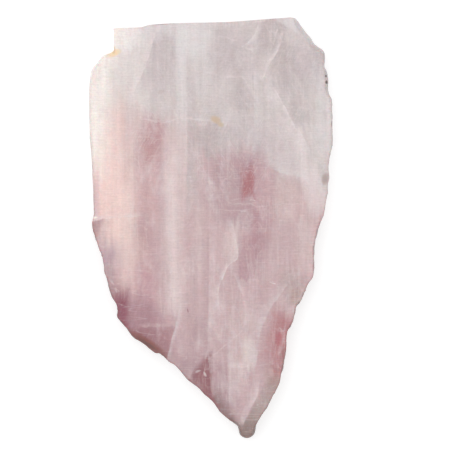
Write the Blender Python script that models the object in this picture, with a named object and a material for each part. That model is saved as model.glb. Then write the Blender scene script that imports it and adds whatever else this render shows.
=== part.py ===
"""A slab of rose quartz: one slice sawn from a rough stone, its face polished, lying on its sawn back.

Metres, +Z up. +Y runs from the pointed tip to the sawn top end, and +X to the right as the face is looked at. The
origin is under the middle of the slab's box, on the surface that the back rests on.
"""

import bpy
import numpy as np

MM = 0.001

# Driving dimensions
LENGTH = 168.6 * MM  # tip to the highest point of the sawn top end
WIDTH = 97.6 * MM
THICKNESS = 7.0 * MM

# The rim, in stretches that follow each other clockwise as seen from above. face_in and back_in are how far the face
# and the back stop inside the wall's fullest line, full is the share of the thickness at which that line runs, and
# broken is the depth of the break's scoops against SCOOP_DEPTH. The points are millimetres right of the slab's middle
# and above it, on the fullest line.
STRETCHES = {
    "sawn_top_end": dict(
        face_in=0.15, back_in=0.15, full=0.5, broken=0.03,
        points=((-39.0, 79.7), (-27.6, 80.5), (-25.2, 81.2), (-21.6, 81.6), (-12.0, 82.1), (6.0, 82.5),
                (17.2, 83.3), (28.0, 84.1), (33.3, 84.3)),
    ),
    "broken_corner": dict(
        face_in=2.2, back_in=1.0, full=0.55, broken=0.25,
        points=((33.9, 83.9), (35.0, 82.3), (37.8, 78.6), (39.7, 76.4), (40.7, 74.7), (42.4, 73.0)),
    ),
    "thin_corner": dict(
        face_in=0.8, back_in=1.2, full=0.5, broken=0.4,
        points=((44.2, 71.6), (45.2, 70.1), (45.4, 67.0), (45.3, 64.8)),
    ),
    "pitted_lump": dict(
        face_in=1.5, back_in=0.9, full=0.5, broken=0.6,
        points=((46.3, 63.0), (46.9, 59.8), (46.7, 55.8)),
    ),
    "right_skin": dict(
        face_in=0.5, back_in=0.9, full=0.45, broken=0.6,
        points=((47.3, 53.6), (48.1, 51.6), (48.4, 45.0), (48.5, 36.0), (48.2, 32.2), (47.4, 27.6), (46.9, 23.2),
                (47.1, 20.6), (46.7, 15.6), (46.1, 11.6), (45.6, 8.0), (44.9, 4.8)),
    ),
    "lower_right_break": dict(
        face_in=0.45, back_in=0.5, full=0.4, broken=1.0,
        points=((43.6, 1.9), (42.6, -1.3), (41.9, -4.6), (41.2, -8.6), (41.0, -14.0), (41.1, -18.8), (40.4, -20.6),
                (38.8, -22.8), (37.4, -26.0), (36.0, -29.2), (34.2, -31.4), (33.6, -34.2), (32.9, -36.7),
                (31.7, -39.2), (30.6, -41.4), (30.4, -43.8), (30.2, -47.0), (29.4, -51.2), (28.4, -57.0),
                (27.6, -62.0), (26.3, -65.2), (24.5, -68.1), (22.0, -72.4), (19.9, -75.9)),
    ),
    "worn_tip": dict(
        face_in=0.9, back_in=0.9, full=0.45, broken=0.15,
        points=((18.4, -78.9), (17.8, -81.4), (16.7, -83.3), (14.6, -84.3), (12.8, -83.9), (11.5, -82.9),
                (11.0, -81.2), (10.5, -79.4)),
    ),
    "lower_left_break": dict(
        face_in=0.35, back_in=0.8, full=0.55, broken=0.7,
        points=((8.8, -77.9), (4.2, -74.5), (0.6, -69.9), (-3.0, -66.3), (-6.6, -62.8), (-8.3, -61.6),
                (-10.8, -59.2), (-13.7, -55.9), (-14.9, -54.8), (-16.9, -53.7), (-19.1, -51.3), (-20.7, -50.2),
                (-22.2, -50.1), (-24.5, -48.5), (-26.6, -46.7), (-30.9, -43.7), (-33.0, -41.0), (-35.2, -38.2)),
    ),
    "left_break": dict(
        face_in=0.35, back_in=0.6, full=0.5, broken=0.9,
        points=((-37.2, -36.0), (-37.4, -33.0), (-37.8, -30.6), (-39.5, -27.8), (-40.6, -24.2), (-41.4, -20.6),
                (-42.7, -18.0), (-43.1, -15.0), (-43.6, -11.4), (-45.0, -8.2), (-45.9, -4.6), (-47.2, -1.0),
                (-47.6, 1.8), (-47.3, 4.0)),
    ),
    "left_skin": dict(
        face_in=0.6, back_in=0.9, full=0.5, broken=0.2,
        points=((-46.9, 5.8), (-47.0, 12.6), (-47.4, 21.6), (-47.8, 28.7), (-48.3, 34.0), (-48.6, 40.0),
                (-48.7, 49.0), (-48.6, 56.0)),
    ),
    "round_shoulder": dict(
        face_in=1.2, back_in=1.2, full=0.45, broken=0.15,
        points=((-48.4, 60.0), (-47.9, 62.9), (-47.0, 64.6), (-45.8, 65.9), (-44.7, 67.5), (-43.4, 69.1),
                (-42.0, 69.8)),
    ),
    "notch": dict(
        face_in=0.15, back_in=0.4, full=0.5, broken=0.1,
        points=((-40.4, 70.2), (-38.9, 71.1), (-38.8, 73.0), (-38.8, 79.0)),
    ),
}
STEP = 0.25 * MM  # between the samples of the rim
BLEND = 6.0 * MM  # length of rim over which one stretch's wall turns into the next one's
TURN_BLEND = 4.0 * MM  # length of rim over which the outward direction is averaged, so that corners don't fold

# The break: shallow round scoops that meet in ridges, as glassy stone breaks
SCOOPS = 150
SCOOP_RADIUS = (2.6 * MM, 6.5 * MM)
SCOOP_DEPTH = 0.75 * MM
PROUD = 0.3  # the crests between scoops stand out past the traced line by this share of the depth
RIM_KEEPS = 0.65  # share of a scoop's depth that is left out at the face and the back

# The solid's mesh
COLUMNS = 290
CORNER_TURN = 0.25  # radians of turning that take as many columns as a length of COLUMN_RUN
COLUMN_RUN = 1.6 * MM
ARRIS = 0.25 * MM  # the worn edge between a wall and the face or the back
WALL_HEIGHTS = np.array([0.25, 1.0, 1.9, 2.8, 3.7, 4.6, 5.4, 6.1, 6.75]) * MM

ROSE = (0.62, 0.49, 0.50, 1.0)
SEED = 7


def through(points, per_span=24):
    """A closed centripetal Catmull-Rom curve through points, per_span samples to each span."""
    p0, p1, p2, p3 = (np.roll(points, shift, axis=0)[:, None] for shift in (1, 0, -1, -2))
    u = np.linspace(0.0, 1.0, per_span, endpoint=False)[None, :, None]

    def knot(a, b):
        return np.linalg.norm(b - a, axis=2, keepdims=True) ** 0.5

    t1 = knot(p0, p1)
    t2 = t1 + knot(p1, p2)
    t3 = t2 + knot(p2, p3)
    t = t1 + u * (t2 - t1)
    a1 = p0 + (p1 - p0) * t / t1
    a2 = p1 + (p2 - p1) * (t - t1) / (t2 - t1)
    a3 = p2 + (p3 - p2) * (t - t2) / (t3 - t2)
    b1 = a1 + (a2 - a1) * t / t2
    b2 = a2 + (a3 - a2) * (t - t1) / (t3 - t1)
    return (b1 + (b2 - b1) * (t - t1) / (t2 - t1)).reshape(-1, 2)


def round_mean(values, run):
    """The mean of values round the closed rim, over a length of run."""
    half = max(1, int(round(run / STEP / 2)))
    window = np.hanning(2 * half + 3)[1:-1]
    padded = np.concatenate([values[-half:], values, values[:half]])
    return np.convolve(padded, window / window.sum(), mode="valid")


def unit(vectors):
    return vectors / np.linalg.norm(vectors, axis=-1, keepdims=True)


class Rim:
    """The wall's fullest line, sampled every STEP, and the numbers that shape the wall at each sample."""

    def __init__(self):
        points = np.array([p for s in STRETCHES.values() for p in s["points"]]) * MM
        curve = through(points)
        gaps = np.linalg.norm(np.roll(curve, -1, axis=0) - curve, axis=1)
        along = np.concatenate([[0.0], np.cumsum(gaps)])
        self.count = int(round(along[-1] / STEP))
        self.perimeter = along[-1]
        self.at = np.arange(self.count) * self.perimeter / self.count
        closed = np.vstack([curve, curve[:1]])
        self.xy = np.stack([np.interp(self.at, along, closed[:, i]) for i in (0, 1)], axis=1)
        low, high = self.xy.min(axis=0), self.xy.max(axis=0)
        self.xy = (self.xy - (low + high) / 2) * (np.array([WIDTH, LENGTH]) / (high - low))
        owner = np.repeat(
            [i for i, s in enumerate(STRETCHES.values()) for _ in s["points"]], len(curve) // len(points)
        )
        nearest = np.minimum(np.searchsorted(along, self.at, side="right") - 1, len(owner) - 1)
        stretches = list(STRETCHES.values())

        def number(key, unit_size):
            values = np.array([s[key] for s in stretches])[owner[nearest]] * unit_size
            return round_mean(values, BLEND)

        self.face_in = number("face_in", MM)
        self.back_in = number("back_in", MM)
        self.full = number("full", 1.0)
        self.broken = number("broken", 1.0)
        tangent = unit(np.roll(self.xy, -1, axis=0) - np.roll(self.xy, 1, axis=0))
        self.turning = np.abs(np.cross(tangent, np.roll(tangent, -1, axis=0)))
        normal = np.stack([-tangent[:, 1], tangent[:, 0]], axis=1)
        self.outward = unit(np.stack([round_mean(normal[:, i], TURN_BLEND) for i in (0, 1)], axis=1))


def scoop_depth(rim, columns, heights):
    """How deep the scoops go at each column and height: the deepest of the bowls that reach it."""
    chance = np.random.default_rng(SEED)
    centre = chance.uniform(0.0, rim.perimeter, SCOOPS)
    level = chance.uniform(-0.2, 1.2, SCOOPS) * THICKNESS
    radius = chance.uniform(*SCOOP_RADIUS, SCOOPS)
    share = chance.uniform(0.35, 1.0, SCOOPS) * rim.broken[(centre / STEP).astype(int) % rim.count]
    gap = np.abs(rim.at[columns][:, None, None] - centre)
    gap = np.minimum(gap, rim.perimeter - gap)
    reach = (gap**2 + (heights[None, :, None] - level) ** 2) / radius**2
    return (np.clip(1.0 - reach, 0.0, None) * share * SCOOP_DEPTH).max(axis=2)


def wall_offset(rim, columns, heights):
    """How far the wall stands out past its fullest line, at each column and height: a bulge that falls back to the
    face above that line and to the back below it, less the scoops."""
    h = (heights / THICKNESS)[None, :]
    full = rim.full[columns][:, None]
    above = np.clip((h - full) / (1.0 - full), 0.0, 1.0) ** 1.6
    below = np.clip((full - h) / full, 0.0, 1.0) ** 1.4
    bulge = -rim.face_in[columns][:, None] * above - rim.back_in[columns][:, None] * below
    proud = PROUD * SCOOP_DEPTH * rim.broken[columns][:, None]
    near_a_rim = np.maximum(above, below) ** 2
    return bulge + proud - scoop_depth(rim, columns, heights) * (1.0 - RIM_KEEPS * near_a_rim)


def chosen_columns(rim):
    """The samples that the solid keeps: even along the rim, and closer where it turns."""
    effort = np.cumsum(rim.perimeter / rim.count / COLUMN_RUN + rim.turning / CORNER_TURN)
    return np.unique(np.searchsorted(effort, np.linspace(0.0, effort[-1], COLUMNS, endpoint=False)))


def slab_mesh(rim):
    """Rings of the wall from the back up to the face, joined by quads and closed by the two flat faces."""
    columns = chosen_columns(rim)
    heights = np.concatenate([[0.0], WALL_HEIGHTS, [THICKNESS]])
    offset = wall_offset(rim, columns, heights)
    offset[:, [0, -1]] -= ARRIS
    xy = rim.xy[columns][:, None] + rim.outward[columns][:, None] * offset[:, :, None]
    level = np.broadcast_to(heights[None, :, None], (*offset.shape, 1))
    rings = np.concatenate([xy, level], axis=2).transpose(1, 0, 2)
    rows, around = rings.shape[:2]
    index = np.arange(rows * around).reshape(rows, around)
    onward = np.roll(index, -1, axis=1)
    quads = np.stack([index[:-1], index[1:], onward[1:], onward[:-1]], axis=2).reshape(-1, 4)
    faces = [*quads.tolist(), index[0].tolist(), index[-1][::-1].tolist()]
    mesh = bpy.data.meshes.new("slab")
    mesh.from_pydata(rings.reshape(-1, 3).tolist(), [], faces)
    mesh.validate()
    return mesh


def rose_quartz():
    """Milky pink stone with a polish."""
    material = bpy.data.materials.new("rose_quartz")
    material.use_nodes = True
    shader = material.node_tree.nodes["Principled BSDF"]
    shader.inputs["Base Color"].default_value = ROSE
    shader.inputs["Roughness"].default_value = 0.2
    shader.inputs["Metallic"].default_value = 0.0
    shader.inputs["IOR"].default_value = 1.544
    return material


def main():
    for old in list(bpy.data.objects):
        bpy.data.objects.remove(old)
    mesh = slab_mesh(Rim())
    mesh.shade_smooth()
    mesh.set_sharp_from_angle(angle=np.radians(30.0))
    mesh.materials.append(rose_quartz())
    slab = bpy.data.objects.new("slab", mesh)
    bpy.context.scene.collection.objects.link(slab)


main()
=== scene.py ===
"""The looks of the rose quartz slab: a fine surface, and milky pink quartz worked out from its place.

Lengths in the tables are millimetres in the slab's own frame, +X right and +Y towards the sawn top end as the
polished face is looked at, and the scene itself is in metres.
"""

import math

import bpy
import numpy as np
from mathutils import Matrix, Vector


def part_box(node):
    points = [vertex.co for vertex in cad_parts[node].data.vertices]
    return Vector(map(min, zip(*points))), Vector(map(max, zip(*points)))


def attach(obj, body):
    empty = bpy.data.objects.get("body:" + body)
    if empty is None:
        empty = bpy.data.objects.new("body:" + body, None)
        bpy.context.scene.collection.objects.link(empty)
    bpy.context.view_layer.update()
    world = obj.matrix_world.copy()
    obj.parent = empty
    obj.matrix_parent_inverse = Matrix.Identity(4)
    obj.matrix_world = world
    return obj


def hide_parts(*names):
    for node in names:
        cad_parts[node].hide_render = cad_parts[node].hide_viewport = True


MM = 0.001

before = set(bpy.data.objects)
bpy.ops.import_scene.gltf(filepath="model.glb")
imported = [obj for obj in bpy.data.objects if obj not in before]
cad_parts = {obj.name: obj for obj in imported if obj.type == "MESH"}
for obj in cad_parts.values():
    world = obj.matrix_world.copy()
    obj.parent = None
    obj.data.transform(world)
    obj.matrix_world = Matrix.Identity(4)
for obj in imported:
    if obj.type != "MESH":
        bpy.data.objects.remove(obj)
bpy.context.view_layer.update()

# The slab's box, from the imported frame
low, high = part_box("slab")
THICKNESS = high.z - low.z
BACK = low.z

# The rim, in stretches that follow each other clockwise as seen from above. face_in and back_in are how far
# the face and the back stop inside the wall's fullest line, full is the share of the thickness at which that
# line runs, broken is the depth of the break's scoops against SCOOP_DEPTH, and the last is how strong the
# wall's painted shade is. The points are millimetres right of the slab's middle and above it, on the fullest
# line.
STRETCHES = {
    "sawn_top_end": dict(
        face_in=0.15, back_in=0.15, full=0.5, broken=0.03, dark=0.1,
        points=((-39.0, 79.7), (-27.6, 80.5), (-25.2, 81.2), (-21.6, 81.6), (-12.0, 82.1), (6.0, 82.5),
                (17.2, 83.3), (28.0, 84.1), (33.3, 84.3)),
    ),
    "broken_corner": dict(
        face_in=2.2, back_in=1.0, full=0.55, broken=0.25, dark=0.1,
        points=((33.9, 83.9), (35.0, 82.3), (37.8, 78.6), (39.7, 76.4), (40.7, 74.7), (42.4, 73.0)),
    ),
    "thin_corner": dict(
        face_in=0.8, back_in=1.2, full=0.5, broken=0.4, dark=0.2,
        points=((44.2, 71.6), (45.2, 70.1), (45.4, 67.0), (45.3, 64.8)),
    ),
    "pitted_lump": dict(
        face_in=1.5, back_in=0.9, full=0.5, broken=0.6, dark=0.3,
        points=((46.3, 63.0), (46.9, 59.8), (46.7, 55.8)),
    ),
    "right_skin": dict(
        face_in=0.5, back_in=0.9, full=0.45, broken=0.6, dark=0.25,
        points=((47.3, 53.6), (48.1, 51.6), (48.4, 45.0), (48.5, 36.0), (48.2, 32.2), (47.4, 27.6),
                (46.9, 23.2), (47.1, 20.6), (46.7, 15.6), (46.1, 11.6), (45.6, 8.0), (44.9, 4.8)),
    ),
    "lower_right_break": dict(
        face_in=0.45, back_in=0.5, full=0.4, broken=1.0, dark=0.8,
        points=((43.6, 1.9), (42.6, -1.3), (41.9, -4.6), (41.2, -8.6), (41.0, -14.0), (41.1, -18.8),
                (40.4, -20.6), (38.8, -22.8), (37.4, -26.0), (36.0, -29.2), (34.2, -31.4), (33.6, -34.2),
                (32.9, -36.7), (31.7, -39.2), (30.6, -41.4), (30.4, -43.8), (30.2, -47.0), (29.4, -51.2),
                (28.4, -57.0), (27.6, -62.0), (26.3, -65.2), (24.5, -68.1), (22.0, -72.4), (19.9, -75.9)),
    ),
    "worn_tip": dict(
        face_in=0.9, back_in=0.9, full=0.45, broken=0.15, dark=0.9,
        points=((18.4, -78.9), (17.8, -81.4), (16.7, -83.3), (14.6, -84.3), (12.8, -83.9), (11.5, -82.9),
                (11.0, -81.2), (10.5, -79.4)),
    ),
    "lower_left_break": dict(
        face_in=0.35, back_in=0.8, full=0.55, broken=0.7, dark=0.9,
        points=((8.8, -77.9), (4.2, -74.5), (0.6, -69.9), (-3.0, -66.3), (-6.6, -62.8), (-8.3, -61.6),
                (-10.8, -59.2), (-13.7, -55.9), (-14.9, -54.8), (-16.9, -53.7), (-19.1, -51.3),
                (-20.7, -50.2), (-22.2, -50.1), (-24.5, -48.5), (-26.6, -46.7), (-30.9, -43.7),
                (-33.0, -41.0), (-35.2, -38.2)),
    ),
    "left_break": dict(
        face_in=0.35, back_in=0.6, full=0.5, broken=0.9, dark=0.8,
        points=((-37.2, -36.0), (-37.4, -33.0), (-37.8, -30.6), (-39.5, -27.8), (-40.6, -24.2),
                (-41.4, -20.6), (-42.7, -18.0), (-43.1, -15.0), (-43.6, -11.4), (-45.0, -8.2),
                (-45.9, -4.6), (-47.2, -1.0), (-47.6, 1.8), (-47.3, 4.0)),
    ),
    "left_skin": dict(
        face_in=0.6, back_in=0.9, full=0.5, broken=0.2, dark=0.25,
        points=((-46.9, 5.8), (-47.0, 12.6), (-47.4, 21.6), (-47.8, 28.7), (-48.3, 34.0), (-48.6, 40.0),
                (-48.7, 49.0), (-48.6, 56.0)),
    ),
    "round_shoulder": dict(
        face_in=1.2, back_in=1.2, full=0.45, broken=0.15, dark=0.0,
        points=((-48.4, 60.0), (-47.9, 62.9), (-47.0, 64.6), (-45.8, 65.9), (-44.7, 67.5), (-43.4, 69.1),
                (-42.0, 69.8)),
    ),
    "notch": dict(
        face_in=0.15, back_in=0.4, full=0.5, broken=0.1, dark=0.1,
        points=((-40.4, 70.2), (-38.9, 71.1), (-38.8, 73.0), (-38.8, 79.0)),
    ),
}
STEP = 0.34  # between the samples of the rim
BLEND = 6.0  # length of rim over which one stretch's wall turns into the next one's
TURN_BLEND = 4.0  # length of rim over which the outward direction is averaged
END_BLEND = 1.0  # length of rim over which the edge of the face is averaged

# The wall's bulge falls back from its fullest line by these powers of the height
FACE_POWER = 1.6
BACK_POWER = 1.4

# The break: shallow round scoops that meet in ridges, with smaller ones and faint ripples in them
SCOOPS = 150
SCOOP_RADIUS = (2.6, 6.5)
SCOOP_DEPTH = 0.75
PROUD = 0.3  # the crests between scoops stand out past the traced line by this share of the depth
RIM_KEEPS = 0.65  # share of a scoop's depth that is left out at the face and the back
FLAKES = 500
FLAKE_RADIUS = (0.7, 2.0)
FLAKE_DEPTH = 0.2
BOWL_LEVELS = (-0.2, 1.2)  # where scoops and flakes have their middles, as shares of the wall's height
BOWL_SHARES = (0.35, 1.0)  # the shares of the full depth that single ones have
RIPPLE = 0.8  # between the ripples in a scoop
RIPPLE_HEIGHT = 0.02
GRAIN_CELLS = (0.9, 0.45)
GRAIN_HEIGHT = 0.08  # of the grain, for each millimetre of its cell
GRAIN_LEAST = 0.25  # the share of it that is left where nothing is broken
SEED = 7

RIM_SHADE_REACH = 0.7  # how far in on the face the wall's painted shade reaches

WALL_ROWS = 24
ARRIS = 0.25  # radius of the worn edge between a wall and the face or the back
ARRIS_ROWS = 4
SHARP_ANGLE = 40.0  # degrees between two faces from which the edge between them stays sharp
RIM_RINGS = (0.15, 0.4, 0.8)  # how far in from its rim the first rings of each flat face run
INNER_RINGS = (0.97, 0.85, 0.7, 0.5, 0.3, 0.12)  # further rings, as shares of the way out from the heart
HEART = np.array([0.0, 40.0])  # where the rings of both flat faces end: no part of the rim is hidden from it

# Pits in the wall's upper slope, with painted shade in the first two among the marks: x, y, radius and depth
PITS = ((46.0, 60.7, 0.55, 0.5), (46.3, 58.3, 0.75, 0.7), (45.6, 62.6, 0.4, 0.3))


def through(points, per_span=24):
    """A closed smooth curve through the points: three rounds of straight blends between four neighbours,
    whose steps are the square roots of the distances between them."""
    p0, p1, p2, p3 = (np.roll(points, shift, axis=0)[:, None] for shift in (1, 0, -1, -2))
    u = np.linspace(0.0, 1.0, per_span, endpoint=False)[None, :, None]

    def knot(a, b):
        return np.linalg.norm(b - a, axis=2, keepdims=True) ** 0.5

    t1 = knot(p0, p1)
    t2 = t1 + knot(p1, p2)
    t3 = t2 + knot(p2, p3)
    t = t1 + u * (t2 - t1)
    a1 = p0 + (p1 - p0) * t / t1
    a2 = p1 + (p2 - p1) * (t - t1) / (t2 - t1)
    a3 = p2 + (p3 - p2) * (t - t2) / (t3 - t2)
    b1 = a1 + (a2 - a1) * t / t2
    b2 = a2 + (a3 - a2) * (t - t1) / (t3 - t1)
    return (b1 + (b2 - b1) * (t - t1) / (t2 - t1)).reshape(-1, 2)


def round_mean(values, run):
    """The mean of values round the closed rim, over a length of run, weighted by a raised cosine."""
    half = max(1, int(round(run / STEP / 2)))
    window = np.hanning(2 * half + 3)[1:-1]
    padded = np.concatenate([values[-half:], values, values[:half]])
    return np.convolve(padded, window / window.sum(), mode="valid")


def unit(vectors):
    """The same directions with length 1."""
    return vectors / np.linalg.norm(vectors, axis=-1, keepdims=True)


class Rim:
    """The wall's fullest line, sampled every STEP, and the numbers that shape the wall at each sample."""

    def __init__(self, width, length):
        stretches = list(STRETCHES.values())
        points = np.array([p for s in stretches for p in s["points"]])
        curve = through(points)
        gaps = np.linalg.norm(np.roll(curve, -1, axis=0) - curve, axis=1)
        along = np.concatenate([[0.0], np.cumsum(gaps)])
        self.count = int(round(along[-1] / STEP))
        self.perimeter = along[-1]
        self.at = np.arange(self.count) * self.perimeter / self.count
        closed = np.vstack([curve, curve[:1]])
        self.xy = np.stack([np.interp(self.at, along, closed[:, i]) for i in (0, 1)], axis=1)
        least, most = self.xy.min(axis=0), self.xy.max(axis=0)
        self.xy = (self.xy - (least + most) / 2) * (np.array([width, length]) / (most - least))
        counts = [len(s["points"]) for s in stretches]
        owner = np.repeat(np.arange(len(stretches)), counts).repeat(len(curve) // len(points))
        nearest = np.minimum(np.searchsorted(along, self.at, side="right") - 1, len(owner) - 1)
        for key in ("face_in", "back_in", "full", "broken", "dark"):
            values = np.array([s[key] for s in stretches])[owner[nearest]]
            setattr(self, key, round_mean(values, BLEND))
        tangent = unit(np.roll(self.xy, -1, axis=0) - np.roll(self.xy, 1, axis=0))
        normal = np.stack([-tangent[:, 1], tangent[:, 0]], axis=1)
        self.outward = unit(np.stack([round_mean(normal[:, i], TURN_BLEND) for i in (0, 1)], axis=1))


def bowls(rim, height, count, radii, depth, seed, ripple=0.0):
    """How deep round bowls go into the wall at each column and height: for each bowl depth x share x (1 -
    d^2 / r^2), d being the distance along the wall from its middle, and of all bowls the deepest. A ripple
    adds a cosine of d."""
    chance = np.random.default_rng(seed)
    centre = chance.uniform(0.0, rim.perimeter, count)
    level = chance.uniform(*BOWL_LEVELS, count) * height.max()
    radius = chance.uniform(*radii, count)
    broken = rim.broken[(centre / rim.perimeter * rim.count).astype(int)]
    share = chance.uniform(*BOWL_SHARES, count) * broken
    deepest = np.zeros((rim.count, len(height)))
    for i in range(count):
        gap = np.abs(rim.at - centre[i])
        gap = np.minimum(gap, rim.perimeter - gap)
        near = np.flatnonzero(gap < radius[i])
        d2 = gap[near, None] ** 2 + (height[None, :] - level[i]) ** 2
        bowl = np.clip(1.0 - d2 / radius[i] ** 2, 0.0, None) * share[i] * depth
        waves = np.cos(np.sqrt(d2) * (2.0 * np.pi / RIPPLE)) * ripple * share[i] * (bowl > 0)
        deepest[near] = np.maximum(deepest[near], bowl + waves)
    return deepest


def grain(rim, height, cell, seed):
    """Smooth noise from -1 to 1 round the rim and up the wall: random numbers on a lattice of cells, joined
    by cubic fades, closing on itself round the rim."""
    around = max(4, int(round(rim.perimeter / cell)))
    up = int(np.ceil(height.max() / cell)) + 2
    lattice = np.random.default_rng(seed).uniform(-1.0, 1.0, (around, up))
    u = rim.at / rim.perimeter * around
    v = height / cell
    iu, iv = np.floor(u).astype(int), np.floor(v).astype(int)
    fu, fv = u - iu, v - iv
    fu, fv = fu * fu * (3 - 2 * fu), fv * fv * (3 - 2 * fv)
    a, b = lattice[iu % around], lattice[(iu + 1) % around]
    row = a * (1 - fu[:, None]) + b * fu[:, None]
    return row[:, iv] * (1 - fv) + row[:, iv + 1] * fv


def wall_offset(rim, height, thickness):
    """How far the wall stands out past its fullest line, at each column and height: a bulge that falls back
    to the face above that line and to the back below it by a power of the height, less the scoops and
    flakes, with the grain added."""
    h = (height / thickness)[None, :]
    full = rim.full[:, None]
    above = np.clip((h - full) / (1.0 - full), 0.0, 1.0) ** FACE_POWER
    below = np.clip((full - h) / full, 0.0, 1.0) ** BACK_POWER
    bulge = -rim.face_in[:, None] * above - rim.back_in[:, None] * below
    proud = PROUD * SCOOP_DEPTH * rim.broken[:, None]
    kept = 1.0 - RIM_KEEPS * np.maximum(above, below) ** 2
    scoops = bowls(rim, height, SCOOPS, SCOOP_RADIUS, SCOOP_DEPTH, SEED, RIPPLE_HEIGHT)
    flakes = bowls(rim, height, FLAKES, FLAKE_RADIUS, FLAKE_DEPTH, SEED + 1)
    rough = sum(grain(rim, height, cell, SEED + i) * cell for i, cell in enumerate(GRAIN_CELLS, 2))
    rough = rough * GRAIN_HEIGHT * (GRAIN_LEAST + rim.broken[:, None])
    return bulge + proud - (scoops + flakes) * kept + rough * kept


def slab_surface(name, width, length, thickness):
    """The whole skin of the slab as one grid. Columns run round the rim. Rows start at the heart of the
    back, run out to its rim as shrunken copies of it, go up the wall, round each arris by a quarter circle,
    and run in again to the heart of the face. Each end of the grid is closed by one point."""
    rim = Rim(width, length)
    turn = np.linspace(0.0, math.pi / 2, ARRIS_ROWS)
    lift, inset = ARRIS * (1.0 - np.cos(turn)), ARRIS * (1.0 - np.sin(turn))
    wall = np.linspace(ARRIS, thickness - ARRIS, WALL_ROWS)[1:-1]
    height = np.concatenate([lift, wall, thickness - lift[::-1]])
    worn = np.concatenate([inset, np.zeros(len(wall)), inset[::-1]])
    offset = wall_offset(rim, height, thickness) - worn
    for x, y, radius, depth in PITS:
        at = rim.xy[:, None] + rim.outward[:, None] * offset[:, :, None]
        d2 = (at[:, :, 0] - x) ** 2 + (at[:, :, 1] - y) ** 2
        upper = np.clip(height / thickness * 2.0 - 1.0, 0.0, 1.0)[None, :]
        offset -= depth * np.clip(1.0 - d2 / radius**2, 0.0, None) * upper
    offset[:, -1] = round_mean(offset[:, -1], END_BLEND)

    def flat_rings(edge, z):
        """Rings from the rim of a flat face in towards the heart, and how far in each one is. Each is the
        edge shrunk towards the heart, so that none folds over."""
        spoke = edge - HEART
        reach = np.linalg.norm(spoke, axis=1)[:, None]
        shares = [1.0 - inward / reach for inward in RIM_RINGS]
        shares += [np.full_like(reach, share) for share in INNER_RINGS]
        levels = [np.column_stack([HEART + spoke * share, np.full(rim.count, z)]) for share in shares]
        return levels, [*RIM_RINGS, *((1.0 - share) * reach.mean() for share in INNER_RINGS)]

    xy = rim.xy[:, None] + rim.outward[:, None] * offset[:, :, None]
    walls = [np.column_stack([xy[:, i], np.full(rim.count, height[i])]) for i in range(len(height))]
    back, back_depth = flat_rings(xy[:, 0], 0.0)
    face, face_depth = flat_rings(xy[:, -1], thickness)
    rings = np.array(back[::-1] + walls + face)
    inward = np.array(back_depth[::-1] + [0.0] * len(walls) + face_depth)
    rows = len(rings)
    points = np.vstack([rings.reshape(-1, 3), [[*HEART, 0.0], [*HEART, thickness]]])
    index = np.arange(rows * rim.count).reshape(rows, rim.count)
    onward = np.roll(index, -1, axis=1)
    quads = np.stack([index[:-1], index[1:], onward[1:], onward[:-1]], axis=2).reshape(-1, 4)
    ends = rows * rim.count
    under = np.column_stack([np.full(rim.count, ends), index[0], onward[0]])
    over = np.column_stack([index[-1], np.full(rim.count, ends + 1), onward[-1]])
    mesh = bpy.data.meshes.new(name)
    places = points * MM + [0.0, 0.0, BACK]
    mesh.from_pydata(places.tolist(), [], quads.tolist() + under.tolist() + over.tolist())
    middle = [RIM_RINGS[-1] + max(width, length) / 3]
    store(mesh, "inward", np.concatenate([np.repeat(inward, rim.count), middle, middle]))
    store(mesh, "dark", np.concatenate([np.tile(rim.dark, rows), [0.0, 0.0]]))
    mesh.shade_smooth()
    mesh.set_sharp_from_angle(angle=math.radians(SHARP_ANGLE))
    return mesh


def store(mesh, name, values):
    """One number for each vertex, which a material reads by name."""
    mesh.attributes.new(name, "FLOAT", "POINT").data.foreach_set("value", values.astype(np.float32))


class Wire:
    """A shader socket on which Python's operators add Math nodes."""

    def __init__(self, finish, socket):
        self.finish = finish
        self.socket = socket

    def math(self, operation, a, b=0.0, c=0.0):
        return self.finish.add("ShaderNodeMath", {"operation": operation}, {0: a, 1: b, 2: c})

    def __add__(self, other):
        return self.math("ADD", self, other)

    def __sub__(self, other):
        return self.math("SUBTRACT", self, other)

    def __rsub__(self, other):
        return self.math("SUBTRACT", other, self)

    def __mul__(self, other):
        return self.math("MULTIPLY", self, other)

    def __abs__(self):
        return self.math("ABSOLUTE", self)

    __radd__ = __add__
    __rmul__ = __mul__


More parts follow.
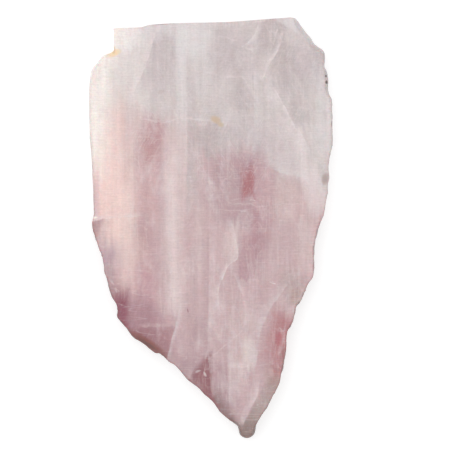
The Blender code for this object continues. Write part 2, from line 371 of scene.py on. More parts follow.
class Finish:
    """A material that is built node by node."""

    def __init__(self, name):
        self.material = bpy.data.materials.new(name)
        self.material.use_nodes = True
        self.material.node_tree.nodes.clear()

    def add(self, kind, settings=None, inputs=None, output=0):
        """A node of any kind: its settings first, then the values or wires of its sockets."""
        node = self.material.node_tree.nodes.new(kind)
        for key, value in (settings or {}).items():
            if key == "curve":
                curve = node.mapping.curves[0]
                curve.points[0].location, curve.points[1].location = value[0], value[-1]
                for point in value[1:-1]:
                    curve.points.new(*point)
                node.mapping.update()
            else:
                setattr(node, key, value)
        for key, value in (inputs or {}).items():
            if isinstance(value, Wire):
                self.material.node_tree.links.new(value.socket, node.inputs[key])
            else:
                node.inputs[key].default_value = value
        return Wire(self, node.outputs[output]) if node.outputs else None

    def fade(self, value, start, end, top=1.0):
        """0 at start, top at end, and an S-shaped rise between them."""
        inputs = {"Value": value, "From Min": start, "From Max": end, "To Max": top}
        return self.add("ShaderNodeMapRange", {"interpolation_type": "SMOOTHSTEP", "clamp": False}, inputs)

    def mix(self, share, a, b, blend="MIX"):
        settings = {"data_type": "RGBA", "blend_type": blend}
        return self.add("ShaderNodeMix", settings, {0: share, 6: a, 7: b}, output=2)

    def vector(self, operation, a, b=(0.0, 0.0, 0.0), c=(0.0, 0.0, 0.0), output=0):
        return self.add("ShaderNodeVectorMath", {"operation": operation}, {0: a, 1: b, 2: c}, output)

    def scale(self, vector, factor):
        return self.add("ShaderNodeVectorMath", {"operation": "SCALE"}, {0: vector, "Scale": factor})

    def noise(self, place, detail=2.0, roughness=0.5, distortion=0.0):
        """Noise from about 0 to 1 whose lumps are one unit of place across."""
        return self.add("ShaderNodeTexNoise", {}, {
            "Vector": place, "Scale": 1.0, "Detail": detail, "Roughness": roughness,
            "Distortion": distortion,
        })


def linear(channel):
    """A channel of an sRGB colour, from 0 to 255, in linear light."""
    share = channel / 255
    return share / 12.92 if share <= 0.04045 else ((share + 0.055) / 1.055) ** 2.4


def seen(red, green, blue):
    """A colour of the stone, given as the photograph shows it. The studio's light leaves the face as it
    is."""
    return (linear(red), linear(green), linear(blue), 1.0)


CHALK = seen(240, 234, 232)
SNOW = seen(231, 218, 218)
MILK = seen(226, 221, 221)
ICE = seen(218, 212, 213)
ASH = seen(209, 198, 197)
SLATE = seen(194, 181, 181)
DUSK = seen(199, 185, 187)
IVORY = seen(249, 241, 235)
CREAM = seen(239, 229, 223)
PEACH = seen(245, 215, 208)
APRICOT = seen(234, 207, 201)
BLUSH = seen(218, 198, 196)
SHELL = seen(217, 189, 190)
PINK = seen(204, 176, 178)
ROSE = seen(199, 170, 173)
MAUVE = seen(186, 157, 161)
MULBERRY = seen(174, 134, 142)
LILAC = seen(190, 161, 171)
UMBER = seen(140, 108, 109)
CHERRY = seen(180, 100, 108)
PALE = seen(225, 206, 205)
FLUSH = seen(198, 158, 164)
FILM = seen(217, 203, 204)
PEARL = seen(227, 217, 214)
PLUM = seen(180, 140, 147)
GARNET = seen(152, 102, 108)
BRICK = seen(178, 116, 120)
WINE = seen(148, 88, 102)
RUST = seen(138, 84, 78)
CLAY = seen(203, 173, 166)
TAN = seen(209, 173, 171)
MOSS = seen(180, 153, 145)
DRIFT = seen(173, 152, 149)
HORN = seen(142, 120, 114)
OCHRE = seen(208, 182, 150)
AMBER = seen(246, 218, 175)
# Painted shade, for the broken wall and the face near its rim
SHADE_COLOUR = seen(104, 84, 80)
# A dark colour for a crack, and painted shade at the top rim and in the pits
SOOT_AND_SHADE = seen(92, 74, 72)

# Soft clouds in the stone, laid over each other in this order: colour, strength, middle x and y, half width
# and half height, turn in degrees, and the share of the radius at which the edge starts to fade
CLOUD_REACH = 1.2  # the share of the radius at which the edge has faded out
CLOUDS = (
    # The pale top, from left to right
    (PEARL, 0.8, -30, 64, 7, 22, 0, 0.4),
    (CHALK, 0.9, -36, 77, 10, 7, 0, 0.4),
    (MILK, 0.65, -20, 79, 8, 5, 0, 0.3),
    (MILK, 0.7, -7, 77, 8, 11, 0, 0.4),
    (DUSK, 0.5, 5, 70, 7, 12, 0, 0.3),
    (DUSK, 0.55, 13.5, 69, 6, 10, 0, 0.2),
    (ASH, 0.5, -2, 53, 8, 9, 0, 0.3),
    (MILK, 0.3, -4, 61, 5, 8, 0, 0.2),
    (SLATE, 0.8, 13.5, 52, 6.5, 7, 0, 0.1),
    (DUSK, 0.75, 38, 66, 9, 9, 0, 0.3),
    (SLATE, 0.55, 35.5, 47, 4, 12, 6, 0.2),
    (SLATE, 0.8, 29, 64, 6, 11, 0, 0.4),
    (FILM, 0.6, 28, 31, 9, 13, 0, 0.3),
    (MILK, 0.5, 45, 44, 4, 18, 0, 0.3),
    (ICE, 0.5, 43, 60, 5, 6, 0, 0.3),
    (DUSK, 0.6, 14, 38, 9, 6, 0, 0.2),
    (DUSK, 0.6, 22, 31, 6, 8, 0, 0.2),
    # The pink middle
    (BLUSH, 0.65, -12.5, 24, 5.5, 24, 0, 0.4),
    (SLATE, 0.85, 2, 34, 10, 7, 0, 0.4),
    (SLATE, 0.5, 7.5, 32, 5, 6, 0, 0.1),
    (ROSE, 0.9, 9, 15, 12, 17, 0, 0.4),
    (MAUVE, 0.6, 13, 22, 8, 12, 0, 0.2),
    (MAUVE, 0.68, 4, 16, 6, 14, 0, 0.3),
    (FLUSH, 0.6, 19.5, 18, 5.5, 13, 0, 0.4),
    (MAUVE, 0.75, 12, 5, 7, 6, 0, 0.3),
    (MULBERRY, 0.45, 13.5, 5, 6, 5, 0, 0.3),
    (BLUSH, 0.5, 30, 11, 6, 8, 0, 0.3),
    (TAN, 0.75, -26, 10, 5, 28, 0, 0.4),
    (MAUVE, 0.5, -26, -4, 5, 12, 0, 0.2),
    (ROSE, 0.5, -3, -7, 2.5, 10, 0, 0.1),
    (BLUSH, 0.4, -4.5, -6, 3.5, 18, 0, 0.3),
    (BLUSH, 0.6, 9, -5, 4, 8, 0, 0.2),
    (PLUM, 0.75, 20, -3, 4.5, 16, -8, 0.1),
    (ROSE, 0.45, 27, -6, 8, 13, 0, 0.3),
    (BLUSH, 0.5, 38, -6, 5, 12, 0, 0.3),
    (SNOW, 0.6, 41, 14, 4.5, 11, 8, 0.3),
    (LILAC, 0.95, -43.0, -14, 4.4, 12, -14, 0.4),
    (MAUVE, 0.95, -41.5, -21, 3.5, 7, -14, 0.5),
    # The pink and brown bottom
    (TAN, 0.8, -28, -16, 4.5, 16, 0, 0.3),
    (FLUSH, 0.8, -28, -23, 7, 10, 0, 0.3),
    (FLUSH, 0.5, -36, -20, 3, 5, 0, 0.3),
    (MULBERRY, 0.95, -30, -37, 11, 12, 0, 0.3),
    (GARNET, 0.6, -27, -47, 8, 5, -33, 0.3),
    (MULBERRY, 0.55, -18, -44, 8, 10, 0, 0.3),
    (FLUSH, 0.5, -15, -40.5, 4, 6.5, 0, 0.3),
    (ROSE, 0.9, -11, -41, 6, 9, 0, 0.3),
    (MAUVE, 0.55, -4, -45, 5, 10, 0, 0.3),
    (MAUVE, 1.0, -6, -59, 12, 9, 0, 0.4),
    (PLUM, 0.72, 3, -61, 6, 8, 0, 0.3),
    (MAUVE, 0.3, 3, -50, 5, 7, 0, 0.2),
    (ROSE, 0.75, 12, -40, 8, 12, 0, 0.3),
    (ROSE, 0.9, 20, -33, 6, 8, 0, 0.4),
    (GARNET, 0.4, -37, -26, 3.5, 6, -12, 0.1),
    (ROSE, 0.6, 9, -24, 5, 11, -12, 0.2),
    (ROSE, 0.6, 18, -22, 6, 14, 0, 0.2),
    (DRIFT, 0.5, 33, -24, 6, 9, 25, 0.2),
    (MOSS, 0.6, 35.5, -28, 4, 4, 30, 0.2),
    (BLUSH, 0.35, 15, -42, 3.5, 13, 0, 0.2),
    (CREAM, 0.45, 15.5, -50, 3, 7, 0, 0.1),
    (MOSS, 0.65, 26, -61, 4.5, 9, 12, 0.2),
    (MAUVE, 0.8, 4, -66, 8, 12, -10, 0.3),
)

# Parts of the stone whose straight edges are frayed by the fibres: name, colour, strength, and the corners,
# each with the width over which the edge that follows it fades, or 0 where that edge runs outside the slab
SHADES = (
    ("peach_side", PEACH, 0.9, ((-55, 48, 28), (-35.5, 48, 8), (-33.5, -6, 12), (-55, -6, 0))),
    ("apricot_side", APRICOT, 0.65, ((-38, 44, 26), (-28.8, 44, 5), (-30.5, -24, 20), (-36, -24, 6))),
    ("peach_glow", PEACH, 0.5, ((-39, 26, 24), (-31.5, 26, 4), (-31.5, 2, 6), (-39, 2, 6))),
    ("cream_side", IVORY, 0.95, ((-56, 90, 0), (-34, 84, 12), (-44.6, 22, 12), (-56, 22, 0))),
    ("pink_rim", SHELL, 0.9, ((-52, 22, 20), (-45.0, 22, 2.4), (-44.4, 3, 2), (-52, 3, 0))),
    ("white_stripe", MILK, 0.6, ((-14.5, 84, 0), (-9.8, 84, 1.2), (-9.8, 40, 64), (-13, 40, 3))),
    ("grey_stripe", SLATE, 0.6, ((-9.6, 44, 24), (-5, 44, 4), (-5, 10, 16), (-9.6, 10, 1))),
    ("pale_band", PALE, 0.8, ((-19, 28, 30), (-12.5, 28, 5), (-11.5, -32, 12), (-17, -32, 4))),
    ("low_stripe_left", MAUVE, 0.3, ((-7.8, -8, 20), (-5.2, -8, 1), (-5.6, -62, 14), (-7.8, -62, 1.4))),
    ("low_stripe_right", MAUVE, 0.29, ((-3.8, 4, 24), (-0.8, 4, 1), (-0.8, -56, 14), (-3.6, -56, 1.6))),
    ("low_band", BLUSH, 0.35, ((7, -30, 20), (13, -30, 3), (13.5, -64, 10), (7.2, -64, 1))),
    ("top_band", DUSK, 0.52, ((-29.5, 56, 2.5), (-22.5, 79, 12), (-14.4, 79, 2), (-14.4, 56, 12))),
    ("rose_shoulder", ROSE, 0.22, ((-35, 51, 5), (-18.4, 42, 2.5), (-18.8, 18, 14), (-35, 18, 6))),
    ("brown_column", FLUSH, 0.27, ((-29, 28, 20), (-20.8, 28, 2.4), (-20.8, -34, 20), (-28, -34, 5))),
    ("rose_streak", BRICK, 0.42, ((-26.6, 43, 4), (-18.8, 41, 3.4), (-20.6, 27, 20), (-26, 27, 4.5))),
    ("top_light", ICE, 0.6, ((-25, 79, 3), (-25, 88, 0), (32, 88, 0), (32, 83, 3))),
    ("pink_arc", ROSE, 0.3, ((15, 31, 4), (28, 22.6, 3), (27, 8, 8), (15, 8, 4))),
    ("pink_shelf", CLAY, 0.12, ((23, 24.2, 3), (38.6, 18, 5), (39.5, 6, 12), (23, 6, 8))),
    ("plum_column", MULBERRY, 0.55, ((11.4, 27, 9), (17.2, 27, 1.8), (17.2, 11.4, 5), (11.4, 11.4, 5))),
    ("brick_core", BRICK, 0.85, ((12.3, 22.4, 9), (17.1, 22.4, 1.8), (17.1, 12.2, 4), (12.3, 12.2, 3))),
    ("plum_block", PLUM, 0.62, ((11, -3, 8), (20, -3, 5), (18.6, -20.6, 1.6), (11.4, -20.6, 1.2))),
    ("wine_edge", WINE, 0.95, ((-42, -26, 8), (-33, -26, 3), (-33, -40, 5), (-42, -40, 0))),
    ("red_edge", BRICK, 0.52, ((25, -31, 6), (33, -38, 0), (30, -64, 10), (20.0, -50, 5))),
    ("brick_edge", BRICK, 0.6, ((25.2, -36, 8), (32, -36, 0), (29, -60, 10), (24.6, -60, 3))),
)

# Parts of the stone with clean edges: the same fields
FACETS = (
    ("under_fracture", ROSE, 0.8, ((-50, 2.7, 0.7), (-42, 3.6, 9), (-43, -10, 14), (-50, -10, 0))),
    ("dark_wedge", GARNET, 0.5, ((-49, 2.4, 0.7), (-43.5, 3, 3), (-46, -6, 3), (-49, -6, 0))),
    ("dark_patch", SLATE, 1.0, ((18, 81.5, 1.5), (25, 84, 1), (30.5, 80, 1.5), (27, 70, 7), (19.5, 71, 2))),
    # Painted light: the thin broken corner shows paler, as light comes through it
    ("painted_light_corner", ICE, 0.75, ((29, 82, 1.5), (30, 88, 0), (49, 72, 1), (40.5, 73, 1.6))),
    ("white_wedge", SNOW, 0.5, ((33, 42, 4), (36.5, 40, 2), (39.5, 18, 2), (36, 19, 4))),
    ("brown_corner", GARNET, 0.52, ((-36, -40.5, 4), (-14.4, -39.6, 1.6), (-18.2, -54, 0), (-36, -52, 0))),
    ("brown_rim", RUST, 0.7, ((-38, -38, 5), (-17, -50.5, 4), (-20, -58, 0), (-42, -44, 0))),
    ("low_left_rim", MAUVE, 0.85, ((-16, -50, 4), (-6, -58, 3), (-8, -64, 0), (-18, -54, 1))),
    ("tip_side", UMBER, 0.95, ((0, -62.5, 6), (9.6, -75.5, 3), (10, -82, 0), (-6, -68, 1))),
    ("garnet_corner", GARNET, 0.95, ((0.6, -49, 1.3), (1.4, -77, 0), (-12, -66, 1), (-7, -57, 3))),
    ("grey_tip", DRIFT, 1.0, ((19.6, -66, 12), (30, -60, 0), (18, -84, 0), (12.2, -80, 1.2))),
    ("horn_tip", HORN, 0.85, ((8, -77.5, 8), (22, -77.5, 0), (18, -88, 0), (8, -88, 0))),
)

# Veils and fine lines that run along the slab: name, colour, strength, how far they fade to the left and to
# the right, and points from the lower end to the upper one
VEILS = (
    ("left_veil", SNOW, 0.75, 3.2, 0.35,
     ((-32, 50), (-29.6, 57), (-25.5, 66.5), (-23.6, 73), (-21.2, 81.4))),
    ("top_veil", MILK, 0.55, 0.5, 2.4, ((11.6, 72), (16.8, 76.2), (19.4, 82.5))),
    ("crossing_veil", SNOW, 0.6, 0.5, 0.5, ((24.6, 72.5), (25.7, 76), (26.6, 80))),
    ("patch_veil", SNOW, 0.75, 2.2, 0.5, ((20.6, 58), (22.2, 63.5), (25, 68), (28, 74.4), (29.2, 79.5))),
    ("long_veil", SNOW, 0.68, 7.5, 0.6,
     ((40.5, 27), (37.2, 35.4), (33.2, 41), (30, 47.2), (27.4, 52), (24, 58))),
    ("long_line", MILK, 0.55, 0.5, 0.4,
     ((39.5, 29), (37.2, 35.4), (33.2, 41), (30, 47.2), (27.4, 52), (23.4, 59))),
    ("shelf_veil", SNOW, 0.3, 0.6, 2.0, ((39.4, 18), (41, 24), (43.6, 29), (46.6, 34))),
    ("rim_veil", SNOW, 0.35, 0.5, 1.6, ((38.4, 6), (39.8, 12), (38.6, 19.5))),
    ("middle_edge", MILK, 0.35, 0.5, 4.5, ((17.4, 32), (17.6, 48), (17.0, 66))),
    ("curl_veil", SNOW, 0.55, 2.4, 0.4,
     ((4.7, -35), (2.9, -27), (4.8, -19.8), (7.4, -14.4), (10.6, -11.6), (10, -4.6), (6.6, 6))),
    ("curl_line", MILK, 0.45, 0.3, 0.3, ((4.0, -22), (5.4, -18), (7.4, -14.4), (10.6, -11.6), (10.4, -8))),
    ("loop_veil", SNOW, 0.36, 0.6, 1.8,
     ((12.4, -41), (13.9, -34.4), (13.2, -29), (11.4, -23.4), (8.6, -16.4))),
    ("stripe_veil", SNOW, 0.32, 0.5, 3.8, ((0.9, -70), (-0.4, -56), (-1, -46), (-0.6, -25), (-0.2, 2))),
    ("left_stripe", MAUVE, 0.22, 2.4, 0.5, ((-0.8, -52), (-1.2, -40), (-0.8, -20), (-0.6, -4))),
    ("plum_line", PLUM, 0.4, 0.8, 2.6, ((16.6, -15), (17.8, -10), (19.2, -4), (21.8, 3))),
    ("side_veil", FILM, 0.6, 5.0, 0.7,
     ((17.2, -60), (18.4, -49), (19.2, -43), (22.6, -34), (28, -26), (33, -19))),
    ("tip_veil", SNOW, 0.5, 3.2, 0.6, ((12.4, -79.4), (15.4, -72.4), (18.2, -67), (19.4, -60))),
    ("low_stripe", SNOW, 0.32, 0.6, 2.8, ((7.6, -73), (7, -58), (6.8, -42))),
    ("corner_veil", ICE, 0.5, 0.5, 1.6, ((-17.4, -53.6), (-16, -47), (-13.6, -38), (-12, -30))),
    ("rim_line", RUST, 0.6, 0.5, 0.5, ((-46.7, 4.4), (-46.8, 9), (-46.9, 14))),
    ("crack", SOOT_AND_SHADE, 0.6, 0.25, 0.25, ((-27.2, -45.6), (-26, -43.4), (-24.2, -41.4))),
)

# Veils and fine lines that run across it: the same, with how far they fade down and up, and points from
# left to right
CROSS_VEILS = (
    ("fracture", SNOW, 0.45, 0.4, 2.4, ((-48.5, 2.7), (-44, 3.4), (-38, 4.1), (-32, 4.5), (-26, 4.8))),
    ("streak_cap", SNOW, 0.45, 0.5, 0.8,
     ((-30, 45), (-24, 42.8), (-19, 42), (-13, 43.6), (-6, 43.4), (2, 42))),
    ("top_line", SLATE, 0.55, 0.4, 0.25, ((-8, 57.2), (-2, 57), (4, 56.6))),
    ("arc", MAUVE, 0.35, 4.0, 0.8, ((16, 26), (20, 26.4), (23, 25.8), (25.6, 24), (28.2, 20.4))),
    ("shelf_line", MILK, 0.4, 0.8, 3.5, ((22.5, 25.6), (27, 22.8), (31.5, 21.4), (35.5, 20.6), (39.5, 18))),
    ("glass_line", SNOW, 0.3, 0.5, 0.35,
     ((4, 8.6), (10, 9.7), (15, 9.4), (20, 8.6), (26, 9.3), (31, 9.8), (38, 7.4))),
    ("low_glass_line", SNOW, 0.25, 0.35, 0.35, ((2, 7.4), (8, 7), (15.5, 6.7))),
    ("blob_line", SNOW, 0.3, 0.3, 0.3, ((11, 22.2), (14, 22.5), (17.4, 22.3))),
    ("glint", SNOW, 0.9, 0.3, 0.3, ((15.4, 10.6), (16.6, 10.9), (17.8, 10.6))),
    ("low_glint", SNOW, 0.9, 0.3, 0.3, ((23.2, -21.6), (24.6, -22), (26.2, -22))),
    ("v_line", SNOW, 0.3, 0.8, 0.5, ((-1.6, -53), (4, -48.2), (8, -44.8), (13.8, -40))),
    ("crinkle", SNOW, 0.4, 0.4, 1.6, ((6, 59.6), (9, 60.4), (12, 60), (14.5, 58.4))),
    ("high_crinkle", SNOW, 0.4, 1.2, 0.4, ((1, 75.6), (5, 76.4), (9, 75.2), (12, 75.8))),
    ("patch_crinkle", SNOW, 0.45, 0.4, 1.0, ((11.5, 72.2), (14, 71.6), (17.6, 70.2))),
    ("low_line", SNOW, 0.35, 0.4, 3.0, ((6, -55.9), (12, -55.6), (18.4, -55))),
    ("corner_line", BLUSH, 0.35, 0.3, 2.2, ((-30, -39.8), (-22, -39.4), (-13, -39.2))),
)

VEIL_ENDS = 0.14  # the share of a veil's run over which each of its ends fades

# White threads where a noise crosses its middle: the noise's scale along x, y and z, the threads' width in
# the noise's own units, their strength, and the reach of a second noise in which they show
THREADS = (
    ((0.42, 0.03, 0.1), 0.05, 0.18, 0.4, 0.62),
    ((0.14, 0.05, 0.12), 0.016, 0.16, 0.42, 0.6),
    ((0.04, 0.3, 0.12), 0.018, 0.2, 0.6, 0.42),
    ((0.04, 0.7, 0.1), 0.016, 0.2, 0.45, 0.62),
)

# White films that run at a slant: how many degrees their run is turned anticlockwise from the slab's length,
# the noise's scale across and along it, their strength, and the reach of the patch noise in which they show
FILMS = (
    (28, 0.4, 0.04, 0.33, 0.42, 0.58),
    (-24, 0.34, 0.045, 0.29, 0.6, 0.44),
)
FILM_START = 0.5  # the noise at which a film starts
FILM_FULL = 0.72  # the noise at which it has its whole strength
FILM_EDGE = 0.014  # how far a film's crisp edge reaches to both sides of its start
FILM_EDGE_STRENGTH = 0.3

# What the stone's brightness goes up and down by: a noise's scale along x, y and z, its detail and roughness,
# and its strength
FIBRES = (
    ((0.5, 0.02, 0.15), 4.0, 0.6, 0.2),  # broad fibres along the slab
    ((2.2, 0.14, 0.5), 3.0, 0.5, 0.06),  # fine fibres
    ((0.28, 2.6, 0.5), 2.0, 0.5, 0.18),  # short ticks across the slab
    ((1.1, 1.1, 0.7), 4.0, 0.7, 0.27),  # a mottle
)
FIBRE_TINT = (1.05, 1.18, 1.15)  # how much of that red, green and blue take

# The line on which the grey-white top gives way to the pink body: how far right its ends lie, how high a
# value of 1 is, and its points, as shares of both
TOP_LINE_ENDS = (-40.0, 46.0)
TOP_LINE_HEIGHT = 50.0
TOP_LINE = [(0.0, 0.96), (0.24, 0.84), (0.5, 0.72), (0.66, 0.6), (0.8, 0.44), (0.93, 0.34), (1.0, 0.1)]
TOP_LINE_FADE = 7.0  # to each side of the line

# Small marks on top of everything, some of them painted glints and painted shade: the same fields as the
# clouds
MARKS = (
    (OCHRE, 0.7, 2.0, 43.2, 2.4, 1.5, -25, 0.1),
    (OCHRE, 0.6, 4.0, 41.2, 1.3, 1.0, -20, 0.1),
    (CHERRY, 0.6, 27.2, -44.2, 1.5, 3.2, 0, 0.1),
    (BRICK, 0.35, 26.6, -52.6, 1.6, 2.6, 0, 0.1),
    (RUST, 0.3, 28.6, -50, 1.0, 4.0, -10, 0.1),
    (BRICK, 0.3, 28.4, -37.4, 1.3, 2.2, 0, 0.1),
    (SHELL, 0.4, 24.2, -57.6, 1.2, 2.2, 10, 0.1),
    (RUST, 0.85, -25.2, -45.9, 8.0, 1.7, -33, 0.3),
    (SOOT_AND_SHADE, 0.5, -25.6, -46.2, 5.0, 0.8, -33, 0.1),
    (AMBER, 0.85, -38.8, 69.8, 3.2, 1.5, 20, 0.1),
    (OCHRE, 0.6, -38.8, 71, 0.8, 1.6, 0, 0.1),
    # A painted glint at the left end of the fracture
    (IVORY, 0.95, -46.3, 4.2, 1.2, 0.5, 10, 0.3),
    # Painted glints
    (SNOW, 0.6, -2.3, -58.3, 0.5, 1.2, 25, 0.2),
    (SNOW, 0.45, -5.2, -57.2, 1.2, 0.5, 20, 0.2),
    (SNOW, 0.6, -21, 79.6, 0.9, 1.8, -20, 0.1),
    (GARNET, 0.75, -1.5, -68.4, 7, 2.2, -42, 0.2),
    (UMBER, 0.6, 5.4, -74.9, 5, 1.5, -38, 0.2),
    (GARNET, 0.6, -9.2, -33, 0.3, 1.0, 10, 0.2),
    # Painted glints near the left rim
    (SNOW, 0.35, -39.4, -21.8, 1.3, 0.5, -50, 0.1),
    (SNOW, 0.3, -37.8, -24.8, 0.5, 1.2, 20, 0.1),
    (DRIFT, 0.75, 45.6, 19.6, 1.5, 2.6, -8, 0.1),
    (MOSS, 0.25, -19.8, 54.4, 1.8, 0.9, 15, 0.1),
    (SOOT_AND_SHADE, 0.5, 48.4, 41.6, 0.5, 1.3, 0, 0.2),
    # Painted shade where the wall shows along the top rim
    (SOOT_AND_SHADE, 0.4, -20, 81.4, 6, 0.35, 3, 0.3),
    # Painted shade in the two deepest pits
    (SOOT_AND_SHADE, 0.9, 46.0, 60.7, 0.5, 0.5, 0, 0.4),
    (SOOT_AND_SHADE, 1.0, 46.3, 58.3, 0.6, 0.7, 0, 0.4),
)
MARKS_FADE = (2.0, 6.0)  # the heights on the wall between which they fade out downwards

BACK_SKIN = 0.2  # how far up the wall the sawn back's finish reaches


class Stone:
    """The quartz's pattern, laid on a Finish in the order of its methods."""

    def __init__(self, finish):
        f = self.f = finish
        self.place = f.scale(f.add("ShaderNodeTexCoord", output=3), 1 / MM)
        apart = f.add("ShaderNodeSeparateXYZ", {}, {0: self.place})
        self.x, self.y, self.z = (Wire(f, s) for s in apart.socket.node.outputs)
        self.fray = self.noise((0.6, 0.04, 0.3), detail=2.5) - 0.5
        self.sway = self.noise((0.12, 0.12, 0.12)) - 0.5
        self.jitter = self.noise((0.5, 0.5, 0.5), detail=3.0) - 0.5
        self.soft = self.spot(self.x + self.sway * 4.0 + self.jitter * 1.2, self.y + self.fray * 9.0)
        self.frayed = self.spot(self.x + self.sway * 1.5 + self.jitter, self.y + self.fray * 7.0)
        self.straight_x = self.x + self.jitter * 0.9
        self.straight_y = self.y + self.fray * 1.6 + self.jitter
        self.straight = self.spot(self.straight_x, self.y + self.fray * 2.0 + self.jitter)
        self.exact = self.spot(self.x + self.jitter * 0.4, self.y + self.jitter * 0.4)
        self.patch = self.noise((0.09, 0.06, 0.1), detail=3.0)
        self.breaks = f.fade(self.noise((0.3, 0.3, 0.3), detail=3.0), 0.35, 0.6, 0.6) + 0.4

    def noise(self, scale, **kind):
        """Noise in the stone: a scale of 0.5 along an axis gives lumps 2 mm long there."""
        return self.f.noise(self.f.vector("MULTIPLY", self.place, scale), **kind)

    def spot(self, x, y):
        """A place as (x, y, 1), so that its dot product with (a, b, c) is a x + b y + c."""
        return self.f.add("ShaderNodeCombineXYZ", {}, {0: x, 1: y, 2: 1.0})

    def plane(self, place, a, b, c):
        return self.f.vector("DOT_PRODUCT", place, (float(a), float(b), float(c)), output=1)

    def ground(self):
        """A grey-white top and a pink body, which meet on a line that falls from left to right."""
        f = self.f
        start, end = TOP_LINE_ENDS
        across = f.add("ShaderNodeMapRange", {}, {"Value": self.x, "From Min": start, "From Max": end})
        line = f.add("ShaderNodeFloatCurve", {"curve": TOP_LINE}, {1: across}) * TOP_LINE_HEIGHT
        above = f.fade(self.y + self.fray * 8.0 - line, -TOP_LINE_FADE, TOP_LINE_FADE)
        low = f.fade(self.y, -30.0, -70.0)
        return f.mix(above, f.mix(low, PINK, ROSE), ASH)

    def clouds(self, colour, rows, place):
        """Each cloud is 1 inside its ellipse and fades out by an S-curve of u^2 + v^2, where u and v are the
        distances from its middle along its own two directions, in its half widths."""
        f = self.f
        for tint, strength, cx, cy, rx, ry, turn, edge in rows:
            if turn:
                cos, sin = math.cos(math.radians(turn)), math.sin(math.radians(turn))
                u = self.plane(place, cos / rx, sin / rx, -(cos * cx + sin * cy) / rx)
                v = self.plane(place, -sin / ry, cos / ry, (sin * cx - cos * cy) / ry)
                away = u.math("MULTIPLY_ADD", u, u, v * v)
            else:
                uv = f.vector("MULTIPLY_ADD", place, (1 / rx, 1 / ry, 0.0), (-cx / rx, -cy / ry, 0.0))
                away = f.vector("DOT_PRODUCT", uv, uv, output=1)
            colour = f.mix(f.fade(away, CLOUD_REACH**2, edge**2, strength), colour, tint)
        return colour

    def facets(self, colour, rows, place):
        """Each facet fades by an S-curve of the least of the distances to its edges, each in that edge's own
        width of fading. A distance is a dot product."""
        f = self.f
        for _, tint, strength, corners in rows:
            points = np.array([c[:2] for c in corners], float)
            middle = points.mean(axis=0)
            inside = None
            for start, end, (_, _, width) in zip(points, np.roll(points, -1, axis=0), corners):
                if not width:
                    continue
                inward = unit(np.array([start[1] - end[1], end[0] - start[0]]))
                inward *= np.sign(inward @ (middle - start)) / width
                reach = self.plane(place, *inward, -inward @ start)
                inside = inside.math("MINIMUM", inside, reach) if inside else reach
            colour = f.mix(f.fade(inside, -0.5, 0.5, strength), colour, tint)
        return colour

    def veils(self, colour, rows, axis):
        """Each veil is a curve of across over along, along being x for axis 0 and y for axis 1. Its share
        falls by S-curves to 0 on both sides and at its ends."""
        f = self.f
        places = (self.straight_x, self.straight_y)
        along, across = places[axis], places[1 - axis]
        for _, tint, strength, before, after, points in rows:
            run = [p[axis] for p in points]
            side = [p[1 - axis] for p in points]
            low, span = min(side), max(side) - min(side)
            curve = [((r - run[0]) / (run[-1] - run[0]), (s - low) / span) for r, s in zip(run, side)]
            t = f.add("ShaderNodeMapRange", {}, {"Value": along, "From Min": run[0], "From Max": run[-1]})
            line = f.add("ShaderNodeFloatCurve", {"curve": curve}, {1: t})
            off = line.math("MULTIPLY_ADD", line, -span, across)
            ends = f.fade(t.math("PINGPONG", t, 0.5), 0.0, VEIL_ENDS, self.breaks)
            share = f.fade(off, low - before, low, strength) * f.fade(off, low + after, low) * ends
            colour = f.mix(share, colour, tint)
        return colour

    def films(self, colour):
        """Slanting white films with a crisp edge, on noise that is drawn out along their run. They show
        most in the pale top."""
        f = self.f
        flat = self.spot(self.x, self.y)
        clear = f.fade(self.y, -5.0, 35.0, 0.75) + 0.25
        for turn, across, along, strength, start, end in FILMS:
            cos, sin = math.cos(math.radians(turn)), math.sin(math.radians(turn))
            u = self.plane(flat, cos * across, sin * across, 0)
            v = self.plane(flat, -sin * along, cos * along, 0)
            place = f.add("ShaderNodeCombineXYZ", {}, {0: u, 1: v, 2: self.z * 0.1})
            film = f.noise(place, detail=3.0, roughness=0.6)
            edge = f.fade(abs(film - FILM_START), FILM_EDGE, 0.0, FILM_EDGE_STRENGTH)
            share = edge.math("MAXIMUM", edge, f.fade(film, FILM_START, FILM_FULL, strength))
            colour = f.mix(share * f.fade(self.patch, start, end) * clear, colour, SNOW)
        return colour

    def threads(self, colour):
        """White threads, broken up by the patch noise."""
        f = self.f
        for scale, width, strength, start, end in THREADS:
            cells = self.noise(scale, distortion=0.15) - 0.5
            share = f.fade(abs(cells), width, 0.0, strength) * f.fade(self.patch, start, end)
            colour = f.mix(share, colour, SNOW)
        return colour

    def cotton(self, colour):
        """Milky patches, and patches with less light."""
        f = self.f
        milky = self.noise((0.16, 0.09, 0.1), detail=6.0, roughness=0.62)
        colour = f.mix(f.fade(milky, 0.5, 0.75, 0.36), colour, SNOW)
        return f.mix(f.fade(milky, 0.5, 0.28, 0.13), colour, MAUVE, "MULTIPLY")

    def fibres(self, colour):
        """The colour's brightness goes up and down by the noises of FIBRES, each taken from its middle."""
        f = self.f
        light = sum((self.noise(scale, detail=detail, roughness=roughness) - 0.5) * strength
                    for scale, detail, roughness, strength in FIBRES)
        return f.vector("MULTIPLY", colour, f.vector("ADD", f.scale(FIBRE_TINT, light), (1.0, 1.0, 1.0)))


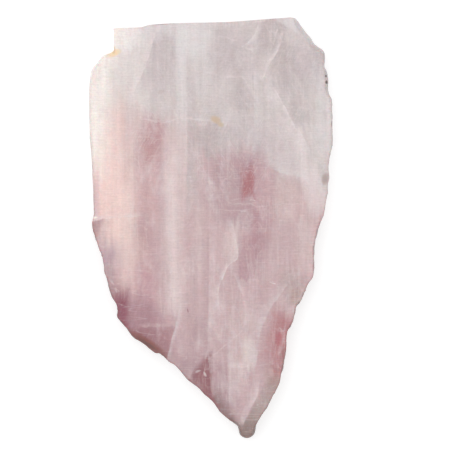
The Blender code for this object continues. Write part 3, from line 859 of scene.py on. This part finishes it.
def quartz():
    """Milky rose quartz: polished where the face is, frosted on the broken wall, which has painted shade."""
    f = Finish("rose_quartz")
    stone = Stone(f)
    colour = stone.ground()
    colour = stone.clouds(colour, CLOUDS, stone.soft)
    colour = stone.facets(colour, SHADES, stone.frayed)
    colour = stone.facets(colour, FACETS, stone.straight)
    colour = stone.cotton(colour)
    colour = stone.veils(colour, VEILS, axis=1)
    colour = stone.veils(colour, CROSS_VEILS, axis=0)
    colour = stone.films(colour)
    colour = stone.threads(colour)
    colour = stone.fibres(colour)
    colour = f.mix(f.fade(stone.z, *MARKS_FADE), colour, stone.clouds(colour, MARKS, stone.exact))

    # The broken wall, with painted shade on it and on the face near the rim, and the sawn back
    top = THICKNESS / MM
    dark = f.add("ShaderNodeAttribute", {"attribute_name": "dark"}, output=2)
    wall = f.fade(stone.z, top, top - ARRIS) * f.fade(stone.z, 0.0, BACK_SKIN)
    back = f.fade(stone.z, BACK_SKIN, 0.05)
    lumps = stone.noise((1.1, 1.1, 1.1), detail=5.0, roughness=0.6)
    shade_lumps = f.fade(lumps, 0.35, 0.6, 0.5) + 0.4
    edge = f.fade(f.add("ShaderNodeAttribute", {"attribute_name": "inward"}, output=2), RIM_SHADE_REACH, 0.0)
    # Painted shade on the wall, and at half strength on the face near its rim, scaled by each stretch's share
    # and broken up by the lumps
    colour = f.mix(edge.math("MAXIMUM", edge * 0.5, wall) * dark * shade_lumps, colour, SHADE_COLOUR)
    colour = f.mix(back * 0.25, colour, SNOW)
    roughness = 0.14 + lumps * 0.1 + wall * 0.35 + back * 0.35

    grit = stone.noise((4.0, 4.0, 4.0), detail=3.0)
    saw = stone.noise((0.05, 2.0, 0.1), detail=3.0)
    height = wall * lumps * 0.5 + (wall + back) * grit * 0.08 + back * saw * 0.12 + grit * 0.004
    normal = f.add("ShaderNodeBump", {}, {"Height": height, "Strength": 1.0, "Distance": MM})
    shader = f.add("ShaderNodeBsdfPrincipled", {}, {
        "Base Color": colour, "Roughness": roughness, "IOR": 1.544, "Subsurface Weight": 0.3,
        "Subsurface Scale": 0.003, "Normal": normal,
    })
    f.add("ShaderNodeOutputMaterial", {}, {0: shader})
    return f.material


def main():
    size = (high - low) / MM
    mesh = slab_surface("rose_quartz_slab", size.x, size.y, size.z)
    mesh.materials.append(quartz())
    slab = bpy.data.objects.new("rose_quartz_slab", mesh)
    bpy.context.scene.collection.objects.link(slab)
    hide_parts("slab")
    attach(slab, "root")


# The studio
AIM = Vector((5.65 * MM, 1.2 * MM, 5.0 * MM))  # the point that the photograph is centred on
FRAME_WIDTH = 180.0 * MM  # what the picture takes in there
DISTANCE = 900.0 * MM
FLOOR_HALF = 3.0
FLOOR_GAP = 0.2 * MM  # between the floor and the slab's back


def studio():
    """A pale floor that glows a little, a white room, one large soft light, and a camera that looks straight
    down."""
    scene = bpy.context.scene
    scene.view_settings.view_transform = "Standard"
    world = bpy.data.worlds.new("white_room")
    world.use_nodes = True
    room = world.node_tree.nodes["Background"].inputs
    room["Color"].default_value = (1.0, 1.0, 1.0, 1.0)
    room["Strength"].default_value = 0.84
    scene.world = world

    floor = Finish("pale_floor")
    shader = floor.add("ShaderNodeBsdfPrincipled", {}, {
        "Base Color": (0.5, 0.5, 0.5, 1.0), "Roughness": 0.7, "Specular IOR Level": 0.2,
        "Emission Color": (1.0, 1.0, 1.0, 1.0), "Emission Strength": 0.6,
    })
    floor.add("ShaderNodeOutputMaterial", {}, {0: shader})
    mesh = bpy.data.meshes.new("floor")
    corners = [(-1, -1), (1, -1), (1, 1), (-1, 1)]
    points = [(x * FLOOR_HALF, y * FLOOR_HALF, BACK - FLOOR_GAP) for x, y in corners]
    mesh.from_pydata(points, [], [(0, 1, 2, 3)])
    mesh.materials.append(floor.material)
    ground = bpy.data.objects.new("floor", mesh)
    scene.collection.objects.link(ground)

    lamp = bpy.data.lights.new("soft_box", "AREA")
    lamp.shape = "DISK"
    lamp.size = 2.0
    lamp.energy = 7.0
    box = bpy.data.objects.new("soft_box", lamp)
    box.location = (-0.8, 0.7, 1.3)
    box.rotation_euler = (AIM - box.location).to_track_quat("-Z", "Y").to_euler()
    scene.collection.objects.link(box)

    view = bpy.data.cameras.new("photograph")
    view.sensor_width = 36.0
    view.lens = view.sensor_width * DISTANCE / FRAME_WIDTH
    view.clip_start = 0.01
    camera = bpy.data.objects.new("photograph", view)
    camera.location = AIM + Vector((0.0, 0.0, DISTANCE))
    scene.collection.objects.link(camera)
    scene.camera = camera


main()
studio()
